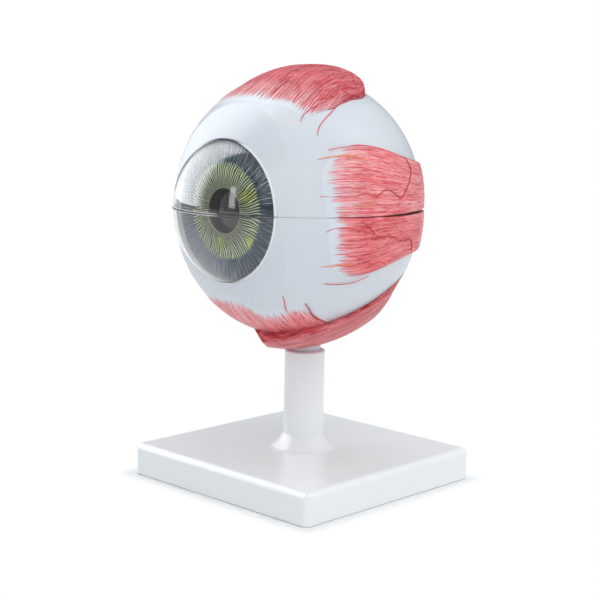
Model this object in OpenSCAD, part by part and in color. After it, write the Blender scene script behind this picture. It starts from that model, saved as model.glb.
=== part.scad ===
// Take-apart anatomical eye on a square stand, about five times life size.
// Millimetres, +Z up. The origin is the centre of the stand's underside; the eye
// looks along -Y and +X is its lateral (temple) side.

/* [Stand] */
// Side of the square base
base_width = 123; // [100:1:150]
// Height of the base
base_height = 16; // [12:0.5:24]
// Radius of the base's four upright corners
base_corner = 4; // [1:0.5:8]
// Radius along the base's top edge
base_edge = 3.4; // [1:0.2:5]
// Wall of the hollow base
base_wall = 2.6; // [2:0.1:4]
// Wall of the ribs under the base
rib_wall = 2; // [1.2:0.1:3]
// How far the ribs stop above the table
rib_lift = 2; // [1:0.5:4]
// Outer diameter of the screw boss under the base
boss_dia = 18; // [15:0.5:24]
// Diameter of the round post
post_dia = 20.6; // [18:0.2:26]
// How far the post's flat top lies below the seam
post_drop = 74.4; // [73.6:0.2:88]
// Diameter of the flared foot of the post
foot_dia = 33.6; // [28:0.2:44]
// Height of the flared foot
foot_height = 7; // [4:0.5:12]

/* [Eyeball] */
// Height of the seam between the halves above the table
eye_height = 141.2; // [140:0.2:150]
// How far the eyeball sits in front of the post
eye_forward = 7.6; // [4:0.2:10]
// Radius of each half of the eyeball
ball_radius = 61; // [60:0.1:62]
// How far each half's centre stands off the seam
ball_rise = 4.5; // [3.5:0.1:5.5]
// Wall of the white outer shell
sclera_wall = 3; // [2.4:0.1:4]
// Gap between an upper and a lower half
seam = 0.3; // [0.2:0.05:0.5]
// Outer diameter of the ring round the cornea
limbus_dia = 69.2; // [68:0.2:72]
// Width of the white ring round the cornea
limbus_ring = 1.2; // [0.8:0.1:1.6]
// Depth of the shell's front edge behind that ring
front_wall = 4; // [3.6:0.1:4.8]
// Radius of the curve that trims the front of the ball round the cornea
front_radius = 80; // [74:0.5:90]

/* [Cornea] */
// Outer radius of the clear dome
cornea_radius = 40; // [38:0.5:50]
// Wall of the dome and of its collar
cornea_wall = 2; // [1.5:0.1:2.4]
// Clearance between the collar and the shell
glue_gap = 0.1; // [0.05:0.01:0.2]

/* [Inner eye] */
// Wall of the choroid half shells
choroid_wall = 2.4; // [2:0.1:3]
// Clearance between nested shells
shell_gap = 0.3; // [0.25:0.05:0.5]
// Diameter of the pupil
pupil_dia = 21.4; // [16:0.2:26]
// Thickness of the iris at the pupil
iris_wall = 1.3; // [1:0.1:1.8]
// How far the iris rises towards the pupil
iris_rise = 3.3; // [1:0.1:4]
// Depth of the rim of the iris under the dome
iris_depth = 2; // [1:0.1:2.4]
// Depth of the ciliary body
ciliary_depth = 7.4; // [6:0.2:8]
// Number of ciliary folds round each half
ciliary_folds = 18; // [8:1:24]
// Diameter of the lens
lens_dia = 34; // [30:0.5:36]
// Radius of the front face of the lens
lens_front = 26; // [24:0.5:32]
// Radius of the back face of the lens
lens_back = 20; // [18.5:0.5:24]
// Width of the band round the edge of the lens
lens_band = 2; // [1.5:0.1:2.5]
// Clearance round the lens
lens_gap = 0.3; // [0.2:0.05:0.5]
// Room between the back of the lens and the vitreous body
fossa_gap = 0.4; // [0.3:0.05:0.8]

/* [Muscles and nerve] */
// Thickness of the superior rectus at its cut end
superior_thick = 7; // [5:0.25:8]
// Thickness of the lateral rectus at its cut end
lateral_thick = 2.5; // [2:0.1:5]
// Thickness of the medial rectus at its cut end
medial_thick = 2.5; // [2:0.1:5]
// Thickness of the inferior rectus at its cut end
inferior_thick = 4; // [3:0.25:4.5]
// Thickness of the inferior oblique under the ball
oblique_thick = 7.3; // [6.5:0.1:8]
// How far the inferior oblique's front edge lies below the centre, along its own axis
oblique_edge = 43.6; // [41:0.2:46]
// Depth of the inferior oblique along that axis
oblique_width = 17.4; // [14:0.2:20]
// Lean of that axis from upright, in degrees
oblique_lean = 28; // [26:0.5:32]
// Thickness of the superior oblique
tendon_thick = 2.4; // [1.8:0.2:3]
// Thickness of the torn insertions
film_thick = 0.6; // [0.4:0.1:1]
// Length of the torn strands at the insertions
fray = 4; // [2:0.5:6]
// Gap where one piece is laid on another
lay_gap = 0.1; // [0.05:0.01:0.2]
// Diameter of the optic nerve
nerve_dia = 19; // [16:0.5:22]
// Length of the optic nerve behind the ball
nerve_length = 14; // [12:0.5:24]
// How far the optic nerve sits towards the nose
nerve_offset = 11; // [8:0.5:14]

/* [Fastenings] */
// Thread diameter of the stand's screws
screw_dia = 4; // [3:0.1:4.4]
// Head diameter of the screws
head_dia = 7.6; // [7:0.1:8.4]
// Head height of the screws
head_height = 2.4; // [2:0.1:3]
// Length of the screws under the head
screw_length = 22; // [18:0.5:26]
// Thickness of the washers
washer_thick = 0.8; // [0.5:0.1:1.2]
// Diameter of the neck between post and shell
neck_dia = 16; // [14:0.2:18]
// Diameter of the spigot in the top of the post
spigot_dia = 10; // [9:0.2:12]
// Length of that spigot
spigot_length = 8; // [5:0.5:12]
// Diameter of the locating pins
pin_dia = 1.8; // [1.4:0.1:2]
// Length of the locating pins
pin_length = 9; // [6:0.5:12]
// Radial clearance of pins, spigot and screws
pin_gap = 0.05; // [0.03:0.01:0.1]

/* [Hidden] */
$fn = 96;
far = 200;

unit = ball_radius / 61;                                // outlines on the ball grow with it
post_top = eye_height - post_drop;
in_r = ball_radius - sclera_wall;
ch_out = in_r - shell_gap;
ch_in = ch_out - choroid_wall;
vit_r = ch_in - shell_gap;
side = sqrt(pow(ball_radius, 2) - pow(ball_rise, 2));   // ball radius at the seam
rim_r = limbus_dia / 2;
rim_f = sqrt(pow(side, 2) - pow(rim_r, 2));             // front ring, ahead of the centre
cavity_f = rim_f - front_wall;                          // flat front of the shell's cavity
ch_f = cavity_f - shell_gap;                            // flat front of the choroid
bore_r = rim_r - limbus_ring;
collar_r = bore_r - glue_gap;
trim_f = rim_f - sqrt(pow(front_radius, 2) - pow(rim_r, 2)); // centre of the trimming curve
dome_f = rim_f + 0.27 - sqrt(pow(cornea_radius, 2) - pow(collar_r, 2));
iris_r = collar_r - cornea_wall - shell_gap;
iris_edge = dome_f + sqrt(pow(cornea_radius - cornea_wall, 2) - pow(iris_r, 2)) - iris_depth;
pupil_r = pupil_dia / 2;
lens_r = lens_dia / 2;
lens_seat = lens_r + lens_gap;
function sag(rad, r) = rad - sqrt(pow(rad, 2) - pow(r, 2));
iris_back = iris_edge + iris_rise - iris_wall;
lens_apex = iris_back - 0.9;                            // just behind the pupil
band_f = lens_apex - sag(lens_front, lens_r);           // front edge of the lens band
band_b = band_f - lens_band;
back_f = band_b + sag(lens_back, lens_r) - lens_back;   // centre of the back face
vit_f = ch_f - ciliary_depth - 2;                       // flat front of the vitreous body
screw_r = screw_dia / 2;
head_r = head_dia / 2;
washer_r = head_r + 0.6;
post_r = post_dia / 2;
neck_r = neck_dia / 2;
pin_r = pin_dia / 2;
// the inside and outside of the shell at the post, measured from the eye's centre
seat_in = -ball_rise - sqrt(pow(in_r, 2) - pow(eye_forward, 2));
head_seat = seat_in - head_height - washer_thick - 0.4;
base_seat = base_height - base_wall - 3;                // seat of the lower screw's washer

// ---- places and simple shapes ------------------------------------------------
module at_eye() { translate([0, -eye_forward, eye_height]) children(); }
module at_post() { translate([0, eye_forward, 0]) children(); }  // post axis, eye's own frame
module forward() { rotate([90, 0, 0]) children(); }              // +Z becomes the gaze

module upper_space(cut) { translate([-far, -far, cut]) cube([2 * far, 2 * far, far]); }
module lower_space(cut) { translate([-far, -far, -far - cut]) cube([2 * far, 2 * far, far]); }
module half(s, cut = seam / 2) {
  intersection() {
    children();
    if (s > 0) upper_space(cut);
    if (s < 0) lower_space(cut);
  }
}
module ball(r, s) { translate([0, 0, s * ball_rise]) sphere(r); }

// space behind a flat face, f ahead of the centre
module behind(f) { forward() translate([0, 0, -far]) cylinder(h = far + f, r = far / 2); }

// ---- stand --------------------------------------------------------------------
function arc(cx, cy, r, a, b, n) = [for (i = [0:n]) let(t = a + (b - a) * i / n)
  [cx + r * cos(t), cy + r * sin(t)]];
function plan(w, r) = let(c = w / 2 - r) concat(arc(c, c, r, 0, 90, 8), arc(-c, c, r, 90, 180, 8),
  arc(-c, -c, r, 180, 270, 8), arc(c, -c, r, 270, 360, 8));
function front(w, h, r) = concat([[-w / 2, 0], [w / 2, 0]], arc(w / 2 - r, h - r, r, 0, 90, 8),
  arc(-w / 2 + r, h - r, r, 90, 180, 8));

module block(w, h, corner, edge) {
  intersection() {
    linear_extrude(h) polygon(plan(w, corner));
    rotate([90, 0, 0]) translate([0, 0, -w]) linear_extrude(2 * w) polygon(front(w, h, edge));
    rotate([90, 0, 90]) translate([0, 0, -w]) linear_extrude(2 * w) polygon(front(w, h, edge));
  }
}

module base_plate() {
  color("white") difference() {
    union() {
      difference() {
        block(base_width, base_height, base_corner, base_edge);
        translate([0, 0, -1]) linear_extrude(base_height - base_wall + 1)
          polygon(plan(base_width - 2 * base_wall, base_corner - min(base_wall, base_corner - 0.5)));
      }
      for (a = [0, 90]) rotate([0, 0, a])
        translate([-base_width / 2 + base_wall / 2, -rib_wall / 2, rib_lift])
          cube([base_width - base_wall, rib_wall, base_height - base_wall - rib_lift + 0.5]);
      translate([0, 0, rib_lift]) cylinder(h = base_height - base_wall - rib_lift + 0.5, d = boss_dia);
    }
    translate([0, 0, -1]) cylinder(h = base_height + 2, r = screw_r + 0.2);
    translate([0, 0, -1]) cylinder(h = base_seat + 1, r = washer_r + 0.3);
  }
}

module post() {
  flare = (foot_dia - post_dia) / 2;
  color("white") difference() {
    rotate_extrude() polygon(concat(
      [[0, base_height], [foot_dia / 2, base_height], [foot_dia / 2, base_height + 0.6]],
      [for (i = [1:7]) let(t = i / 8)
        [post_r + flare * pow(1 - t, 1.35), base_height + 0.6 + (foot_height - 0.6) * t]],
      [[post_r, base_height + foot_height], [post_r, post_top - 0.6], [post_r - 0.6, post_top],
        [0, post_top]]));
    translate([0, 0, base_height - 1]) cylinder(h = screw_length + 1, r = screw_r + pin_gap);
    translate([0, 0, post_top - spigot_length - 0.5])
      cylinder(h = spigot_length + 1.5, r = spigot_dia / 2 + pin_gap);
    translate([0, 0, post_top - screw_length]) cylinder(h = screw_length, r = screw_r + pin_gap);
  }
}

module screw() {  // head below, thread upwards
  difference() {
    union() {
      cylinder(h = screw_length, r = screw_r);
      translate([0, 0, -head_height]) cylinder(h = head_height, r = head_r);
    }
    for (a = [0, 90]) rotate([0, 0, a]) translate([-head_r * 0.62, -0.5, -head_height - 1])
      cube([head_r * 1.24, 1, 2.2]);
  }
}
module washer() {
  difference() {
    cylinder(h = washer_thick, r = washer_r);
    translate([0, 0, -1]) cylinder(h = washer_thick + 2, r = screw_r + 0.2);
  }
}

module stand_screws() {
  color("silver") {
    translate([0, 0, base_seat - washer_thick]) screw();
    at_eye() at_post() translate([0, 0, head_seat + washer_thick]) rotate([180, 0, 0]) screw();
  }
}
module stand_washers() {
  color("silver") {
    translate([0, 0, base_seat - washer_thick]) washer();
    at_eye() at_post() translate([0, 0, head_seat]) washer();
  }
}

// ---- outer shell ----------------------------------------------------------------
module front_trim(grow = 0) {
  intersection() {
    translate([0, -trim_f, 0]) sphere(front_radius + grow);
    behind(rim_f + 2 * grow);
  }
}
module sclera(s) {
  difference() {
    half(s) intersection() { ball(ball_radius, s); front_trim(); }
    intersection() { ball(in_r, s); behind(cavity_f); }
    forward() translate([0, 0, cavity_f - 5]) cylinder(h = 30, r = bore_r);
    pin_bores();
  }
}
module lower_sclera() {
  neck_low = post_top - eye_height;
  color("ghostwhite") at_eye() difference() {
    union() {
      sclera(-1);
      at_post() difference() {
        union() {
          translate([0, 0, neck_low]) cylinder(h = -neck_low - in_r + 4, r = neck_r);
          translate([0, 0, neck_low - spigot_length]) cylinder(h = spigot_length + 1, d = spigot_dia);
        }
        translate([0, -eye_forward, 0]) ball(in_r, -1);
      }
    }
    at_post() translate([0, 0, neck_low - spigot_length - 1]) cylinder(h = far, r = screw_r + 0.2);
    at_post() translate([0, 0, head_seat]) cylinder(h = far, r = washer_r + 0.3);
  }
}
module upper_sclera() { color("ghostwhite") at_eye() sclera(1); }

module cornea(s) {
  half(s) difference() {
    intersection() {
      forward() translate([0, 0, dome_f]) sphere(cornea_radius);
      forward() translate([0, 0, cavity_f]) cylinder(h = 40, r = collar_r);
    }
    intersection() {
      forward() translate([0, 0, dome_f]) sphere(cornea_radius - cornea_wall);
      forward() cylinder(h = 80, r = collar_r - cornea_wall);
    }
  }
}
module lower_cornea() { color("lightblue", 0.4) at_eye() cornea(-1); }
module upper_cornea() { color("lightblue", 0.4) at_eye() cornea(1); }

// ---- muscles --------------------------------------------------------------------
// torn edge from p to q: strands of uneven length that point to the left of the way
function torn(p, q, n, seed) = let(d = q - p, l = norm(d), u = [-d[1], d[0]] / l)
  [for (i = [0:2 * n - 1]) let(k = (i + 0.5) / (2 * n),
    w = (i % 2 == 0) ? 0.35 + 0.65 * abs(sin(seed + 137 * i)) : -0.25 * abs(sin(seed + 71 * i)))
    p + d * k + u * fray / unit * w];

// a sheet over the ball: a thin film at its insertion, thick at its cut end, where the
// outer face is a sphere of the ball's radius plus t, moved by v
module sheet(s, t, v, grow = 0) {
  difference() {
    union() {
      translate([v[0], v[1], v[2] + s * ball_rise]) sphere(ball_radius + t + grow);
      ball(ball_radius + film_thick + grow, s);
    }
    ball(ball_radius + lay_gap - grow, s);
  }
}

function rev(l) = [for (i = [len(l) - 1:-1:0]) l[i]];
module superior_shape() {
  translate([0, 0, 20 * unit]) linear_extrude(80 * unit) polygon(unit * concat(
    [[-30, -12], [-28, -26]],
    rev(torn([3, -33], [-25, -31], 5, 20)), rev(torn([31, -27.4], [3, -33], 5, 44)),
    [[35.4, -22.5], [37.6, -17], [37.8, -9], [36.8, 1], [35.4, 7], [32.8, 11.8], [28.4, 15.6], [22, 17.5],
      [-20, 18], [-26, 16], [-29, 11]]));
}
module superior_rectus() {
  color("indianred") at_eye() difference() {
    intersection() {
      superior_shape();
      sheet(1, superior_thick - 6.4 * unit, [0, 10, 4.3] * unit);
    }
    // the sides fall away from the middle
    difference() {
      translate([-60, -60, 40] * unit) cube(120 * unit);
      translate([0, 0, 16.3 * unit]) rotate([90, 0, 0]) cylinder(h = far, r = 54 * unit, center = true);
      ball(ball_radius + film_thick, 1);
    }
    superior_strap(lay_gap);
  }
}

// strap that runs from the nose side over the back of the ball, under the rectus
module superior_strap(grow) {
  difference() {
    intersection() {
      ball(ball_radius + tendon_thick + grow, 1);
      rotate([-17.5, 0, 29.2]) translate([-far / 2, -7 - grow, -far / 2]) cube([far, 14 + 2 * grow, far]);
      translate([-38 * unit, -far / 2, 25 * unit]) cube([58 * unit, far, far]);
    }
    ball(ball_radius + lay_gap, 1);
  }
}
module superior_oblique() { color("salmon") at_eye() superior_strap(0); }

// side outlines, y and z: torn insertion in front, straight cut behind
lateral_front_up = torn([-28.8, 0.2], [-29, 22], 6, 10);
lateral_front_low = torn([-26.4, -18], [-28, -0.2], 5, 50);
module lateral_shape(s) {
  pts = s > 0
    ? concat([[40, 0], [38, 23], [17, 26.6], [0, 31], [-12.7, 33.3], [-21, 32.6], [-25, 30], [-28, 26]],
      rev(lateral_front_up), [[-29, 0]])
    : concat([[-28, 0]], rev(lateral_front_low),
      [[-24.4, -24], [-20, -27.8], [-16, -28.2], [-10, -27.4], [0, -24.4], [21, -20.6], [36.8, -19.8],
        [40, 0]]);
  rotate([90, 0, 90]) linear_extrude(90 * unit) polygon(unit * pts);
}
module lateral(s) {
  half(s) intersection() {
    lateral_shape(s);
    sheet(s, lateral_thick - 2.5 * unit, [1.5, 1.7, 0] * unit);
  }
}
module lateral_rectus_upper() { color("indianred") at_eye() lateral(1); }
module lateral_rectus_lower() { color("indianred") at_eye() lateral(-1); }

module medial_shape(s) {
  pts = s > 0
    ? concat([[39, 0], [37, 19], [17, 23], [0, 27], [-13, 28.5], [-27, 27]],
      rev(torn([-32, 0.2], [-31, 25], 6, 33)), [[-32, 0]])
    : concat([[-32, 0]], rev(torn([-31, -25], [-32, -0.2], 6, 77)),
      [[-26, -27], [-12, -27.5], [0, -25], [19, -21], [37, -18], [39, 0]]);
  rotate([90, 0, 90]) mirror([0, 0, 1]) linear_extrude(90 * unit) polygon(unit * pts);
}
module medial(s) {
  half(s) intersection() {
    medial_shape(s);
    sheet(s, medial_thick - 2.5 * unit, [-1.5, 1.7, 0] * unit);
  }
}
module medial_rectus_upper() { color("indianred") at_eye() medial(1); }
module medial_rectus_lower() { color("indianred") at_eye() medial(-1); }

module inferior_shape() {
  translate([0, 0, -100 * unit]) linear_extrude(80 * unit) polygon(unit * concat(
    [[-22, 27], [-29, -5], [-30, -22], [-27, -33]],
    torn([-24, -36.5], [2, -40.6], 5, 15), torn([2, -40.6], [31, -31], 6, 65),
    [[35, -27.5], [34.6, -19], [33, 0], [24, 27]]));
}
module inferior_sheet(grow) {
  intersection() {
    inferior_shape();
    sheet(-1, inferior_thick - 3.5 * unit, [0, 6, -1.5] * unit, grow);
    front_trim(film_thick + grow);
  }
}
module inferior_rectus() {
  color("indianred") at_eye() difference() {
    inferior_sheet(0);
    at_post() translate([0, 0, -far]) cylinder(h = far, r = neck_r + 0.4);
  }
}
// strap that crosses under the inferior rectus and climbs the outer side; its own axis
// leans forward, so its edges are two parallel circles round that axis
module inferior_oblique() {
  color("indianred") at_eye() difference() {
    intersection() {
      translate([-4 * unit, -unit, -3.8 * unit - ball_rise])
        sphere(ball_radius + oblique_thick - 3.8 * unit);
      rotate([oblique_lean, 0, -9]) difference() {
        translate([-far / 2, -far / 2, -oblique_edge - oblique_width]) cube([far, far, oblique_width]);
        rotate([0, 0, 22]) translate([-far, 0, -far]) cube([2 * far, far, 2 * far]);
        translate([-far, -24 * unit, -far]) cube([far, far, 2 * far]);
      }
      translate([-16 * unit, -far / 2, -far - 24 * unit]) cube([far, far, far]);
      // the nose end is cut on a slant
      translate([-2, -27.4, -60.2] * unit) rotate([0, -32.7, 48.9]) translate([0, -far, -far])
        cube([far, 2 * far, 2 * far]);
    }
    ball(ball_radius + lay_gap, -1);
    inferior_sheet(lay_gap);
    at_post() translate([0, 0, -far]) cylinder(h = far, r = neck_r + 0.4);
  }
}

// ---- optic nerve and pins ---------------------------------------------------------
module nerve(s) {
  end_y = side + nerve_length;
  r = nerve_dia / 2;
  half(s) difference() {
    translate([-nerve_offset, 0, 0]) rotate([-90, 0, 0]) rotate_extrude() polygon([
      [0, side - 12], [r + 4, side - 12], [r + 3.4, side - 1], [r + 1.2, side + 2], [r, side + 5],
      [r, end_y - 1.2], [r - 1, end_y], [r - 2.4, end_y], [r - 2.8, end_y - 1.6], [r - 3.4, end_y - 1.6],
      [r - 3.8, end_y + 0.4], [r - 4.8, end_y + 1.2], [0, end_y + 1.2]]);
    ball(ball_radius + lay_gap, s);
    translate([-nerve_offset + 1.9, end_y - 2, 1.4]) rotate([-90, 0, 0]) cylinder(h = 9, r = 0.8);
    translate([-nerve_offset - 1.9, end_y - 2, -1.4]) rotate([-90, 0, 0]) cylinder(h = 9, r = 0.8);
    pin_bores();
  }
}
module optic_nerve_upper() { color("khaki") at_eye() nerve(1); }
module optic_nerve_lower() { color("khaki") at_eye() nerve(-1); }

pin_y = 33 * unit;
pin_reach = side - sclera_wall / 2;                      // in the middle of the shell's wall
pin_x = sqrt(pow(pin_reach, 2) - pow(pin_y, 2));
pin_places = [[pin_x, pin_y], [-pin_x, pin_y], [-nerve_offset, side + nerve_length / 2]];
module pin_bores() {
  for (p = pin_places) translate([p[0], p[1], -pin_length / 2 - 0.3])
    cylinder(h = pin_length + 0.6, r = pin_r + pin_gap);
}
module locating_pins() {
  color("silver") at_eye() for (p = pin_places) translate([p[0], p[1], -pin_length / 2]) {
    cylinder(h = pin_length - 0.6, r = pin_r);
    translate([0, 0, pin_length - 0.6]) cylinder(h = 0.6, r1 = pin_r, r2 = pin_r - 0.4);
  }
}

// ---- inner eye ----------------------------------------------------------------------
module choroid(s) {
  half(s) difference() {
    intersection() { ball(ch_out, s); behind(ch_f); }
    ball(ch_in, s);
  }
}
module lower_choroid() { color("sienna") at_eye() choroid(-1); }
module upper_choroid() { color("sienna") at_eye() choroid(1); }

module iris(s) {
  skirt = 3.6;
  half(s) forward() rotate_extrude() polygon([[iris_r, ch_f + 0.05], [iris_r, iris_edge],
    [pupil_r, iris_edge + iris_rise], [pupil_r, iris_back], [iris_r - skirt, iris_edge - iris_wall],
    [iris_r - skirt, ch_f + 0.05]]);
}
module lower_iris() { color("steelblue") at_eye() iris(-1); }
module upper_iris() { color("steelblue") at_eye() iris(1); }

module ciliary(s) {
  back = ch_f - ciliary_depth;
  edge = ch_in + 4;
  half(s) difference() {
    intersection() {
      forward() rotate_extrude() polygon([[lens_seat, band_f + 1.2], [lens_seat + 2.4, ch_f],
        [edge, ch_f], [edge, back], [lens_seat + 6, back], [lens_seat, band_b - 1]]);
      ball(ch_in - 0.05, s);
    }
    for (i = [0:ciliary_folds - 1]) rotate([0, -180 * (i + 0.5) / ciliary_folds * s, 0])
      translate([lens_seat + 7, 0, 0]) rotate([90, 0, 0]) translate([0, 0, back - 1])
        cylinder(h = 3, r = 1.1);
  }
}
module lower_ciliary_body() { color("rosybrown") at_eye() ciliary(-1); }
module upper_ciliary_body() { color("rosybrown") at_eye() ciliary(1); }

module lens() {
  color("lightcyan", 0.5) at_eye() intersection() {
    forward() translate([0, 0, back_f]) cylinder(h = 60, r = lens_r);
    forward() translate([0, 0, lens_apex - lens_front]) sphere(lens_front);
    union() {
      forward() translate([0, 0, back_f]) sphere(lens_back);
      forward() translate([0, 0, band_b]) cylinder(h = 20, r = lens_r);
    }
  }
}
module vitreous_body() {
  color("azure", 0.4) at_eye() difference() {
    union() {
      for (s = [1, -1]) intersection() {
        half(s, -0.001) ball(vit_r, s);
        behind(vit_f);
      }
    }
    forward() translate([0, 0, back_f]) sphere(lens_back + fossa_gap);
    translate([0, -back_f, 0]) cylinder(h = far, r = lens_back + fossa_gap + 0.5);
  }
}

base_plate();
post();
stand_screws();
stand_washers();
lower_sclera();
lower_cornea();
inferior_rectus();
inferior_oblique();
lateral_rectus_lower();
medial_rectus_lower();
optic_nerve_lower();
locating_pins();
lower_choroid();
lower_iris();
lower_ciliary_body();
vitreous_body();
lens();
upper_choroid();
upper_iris();
upper_ciliary_body();
upper_sclera();
upper_cornea();
superior_rectus();
superior_oblique();
lateral_rectus_upper();
medial_rectus_upper();
optic_nerve_upper();
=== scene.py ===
import math

import bpy
import numpy as np
from mathutils import Matrix, Vector


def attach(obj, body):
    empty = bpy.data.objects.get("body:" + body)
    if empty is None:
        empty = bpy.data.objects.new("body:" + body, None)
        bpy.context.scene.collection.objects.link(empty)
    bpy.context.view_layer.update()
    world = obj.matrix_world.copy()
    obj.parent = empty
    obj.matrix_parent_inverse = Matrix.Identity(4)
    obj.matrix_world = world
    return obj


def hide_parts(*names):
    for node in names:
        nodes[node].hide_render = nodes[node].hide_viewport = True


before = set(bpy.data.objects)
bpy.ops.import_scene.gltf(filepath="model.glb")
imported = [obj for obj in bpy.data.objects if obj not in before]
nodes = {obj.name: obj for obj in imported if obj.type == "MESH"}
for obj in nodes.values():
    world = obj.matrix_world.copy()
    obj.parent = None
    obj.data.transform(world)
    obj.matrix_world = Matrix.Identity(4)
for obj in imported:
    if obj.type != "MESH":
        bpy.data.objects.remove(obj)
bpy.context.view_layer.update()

# Sizes in millimetres, as in the CAD model. The eye frame has its origin at the ball's
# centre, looks along -Y and has +X on the temple side. s is 1 for the upper half and -1 for
# the lower half.
MM = 0.001
EYE = np.array([0.0, -7.6, 141.2])
R, RISE, SEAM = 61.0, 4.5, 0.15  # ball, its centre's height off the seam, half the seam
LAY, FILM = 0.03, 0.5  # a sheet's inner face, and at least its outer face, off the ball
SIDE = math.sqrt(R * R - RISE * RISE)  # the ball's radius at the seam
RIM_R = 34.6  # ring round the cornea, and how far ahead it lies
RIM_F = math.sqrt(SIDE**2 - RIM_R**2)
FRONT_R = 80.0  # the ball's trimmed front
TRIM_Y = math.sqrt(FRONT_R**2 - RIM_R**2) - RIM_F
LEDGE, STEP_UP = 1.2, 0.27  # the ring's ledge that carries the dome, width and height
COLLAR_R = RIM_R - LEDGE - 0.1
DOME_R, DOME_A, DOME_GAP = 40.0, 36.2, 0.2  # CAD dome, the fuller one, its half gap
DOME_F = RIM_F + STEP_UP - math.sqrt(DOME_R**2 - COLLAR_R**2)
LIP_R, BORE_R = RIM_R - 0.15, RIM_R - LEDGE + 0.05
IRIS_R = BORE_R - 0.35
IRIS_EDGE = DOME_F + math.sqrt((DOME_R - 2) ** 2 - (COLLAR_R - 2.3) ** 2) - 2.0
PUPIL_R, IRIS_RISE = 10.7, 3.3
CHOROID_F = RIM_F - 4 - 0.3  # the choroid's front edge
BASE_HALF, CAD_SIDE = 61.5, 62.46  # half the base, just inside the CAD model's side
BODY = {1: "upper_shell", -1: "stand"}
HALF = {1: "upper", -1: "lower"}


def rnd(x, y, seed=0.0):
    """Smooth value noise, 0 to 1."""
    x, y = np.broadcast_arrays(np.asarray(x, float), np.asarray(y, float))
    xi, yi = np.floor(x), np.floor(y)
    fx, fy = x - xi, y - yi
    fx, fy = fx * fx * (3 - 2 * fx), fy * fy * (3 - 2 * fy)

    def h(i, j):
        v = np.sin(i * 127.1 + j * 311.7 + seed * 74.7) * 43758.5453
        return v - np.floor(v)

    a, b, c, d = h(xi, yi), h(xi + 1, yi), h(xi, yi + 1), h(xi + 1, yi + 1)
    return (a * (1 - fx) + b * fx) * (1 - fy) + (c * (1 - fx) + d * fx) * fy


def step(x, a, b):
    """Smooth step from 0 at a to 1 at b."""
    t = np.clip((x - a) / (b - a), 0, 1)
    return t * t * (3 - 2 * t)


def root(x):
    return np.sqrt(np.maximum(x, 0))


# ---------------------------------------------------------------- shader nodes
def new_material(name):
    m = bpy.data.materials.new(name)
    m.use_nodes = True
    return m, m.node_tree, m.node_tree.nodes["Principled BSDF"]


def node(t, kind, **settings):
    """A new node. settings name its inputs, with _ for a space, or its properties."""
    n = t.nodes.new("ShaderNode" + kind)
    for key, v in settings.items():
        socket = n.inputs.get(key.replace("_", " "))
        if socket is None:
            setattr(n, key, v)
        else:
            socket.default_value = v
    return n


def link(t, a, b):
    t.links.new(a, b)


def feed(t, sockets, values):
    """Set each socket to its number or colour, or link it to another socket."""
    for socket, v in zip(sockets, values):
        if isinstance(v, (int, float)):
            socket.default_value = v
        elif isinstance(v, tuple):
            socket.default_value = (*v, 1.0)
        else:
            link(t, v, socket)


def math_node(t, op, *values, clamp=False):
    n = node(t, "Math", operation=op, use_clamp=clamp)
    feed(t, n.inputs, values)
    return n.outputs[0]


def mul(t, a, b):
    return math_node(t, "MULTIPLY", a, b)


def mul_add(t, a, b, c):
    return math_node(t, "MULTIPLY_ADD", a, b, c)


def mix_col(t, fac, a, b):
    n = node(t, "Mix", data_type="RGBA")
    feed(t, (n.inputs[0], n.inputs[6], n.inputs[7]), (fac, a, b))
    return n.outputs[2]


def mix_shader(t, fac, a, b):
    n = node(t, "MixShader")
    feed(t, n.inputs, (fac, a, b))
    return n.outputs[0]


def ramp(t, fac, stops):
    n = node(t, "ValToRGB")
    e = n.color_ramp.elements
    while len(e) < len(stops):
        e.new(0.5)
    for s, (p, c) in zip(e, stops):
        s.position = p
        s.color = (*c, 1.0)
    link(t, fac, n.inputs[0])
    return n.outputs[0]


def srgb(r, g, b):
    def f(c):
        c /= 255.0
        return c / 12.92 if c <= 0.04045 else ((c + 0.055) / 1.055) ** 2.4
    return (f(r), f(g), f(b))


def coords(t, source="Object"):
    return node(t, "TexCoord").outputs[source]


def split(t, vec):
    n = node(t, "SeparateXYZ")
    link(t, vec, n.inputs[0])
    return n.outputs


def join(t, x, y, z):
    n = node(t, "CombineXYZ")
    feed(t, n.inputs, (x, y, z))
    return n.outputs[0]


def attribute(t, name):
    return split(t, node(t, "Attribute", attribute_name=name).outputs["Vector"])


def distance(t, point):
    """Metres from a point of the eye frame, which is given in mm."""
    n = node(t, "VectorMath", operation="DISTANCE")
    link(t, coords(t), n.inputs[0])
    n.inputs[1].default_value = (Vector(point) + Vector(EYE)) * MM
    return n.outputs["Value"]


def noise(t, vec, scale, detail=3.0, rough=0.5, dist=0.0):
    n = node(t, "TexNoise", Scale=scale, Detail=detail, Roughness=rough, Distortion=dist)
    link(t, vec, n.inputs["Vector"])
    return n.outputs[0]


def bump(t, b, height, strength, dist=0.0006):
    n = node(t, "Bump", Strength=strength, Distance=dist)
    link(t, height, n.inputs["Height"])
    link(t, n.outputs[0], b.inputs["Normal"])


def map_range(t, value, lo, hi):
    """Smooth step from 0 at lo to 1 at hi."""
    n = node(t, "MapRange", interpolation_type="SMOOTHSTEP", From_Min=lo, From_Max=hi)
    link(t, value, n.inputs["Value"])
    return n.outputs["Result"]


# ---------------------------------------------------------------- materials
def paint(t, b, col, rough, spec=0.5):
    link(t, col, b.inputs["Base Color"])
    b.inputs["Roughness"].default_value = rough
    b.inputs["Specular IOR Level"].default_value = spec


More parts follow.
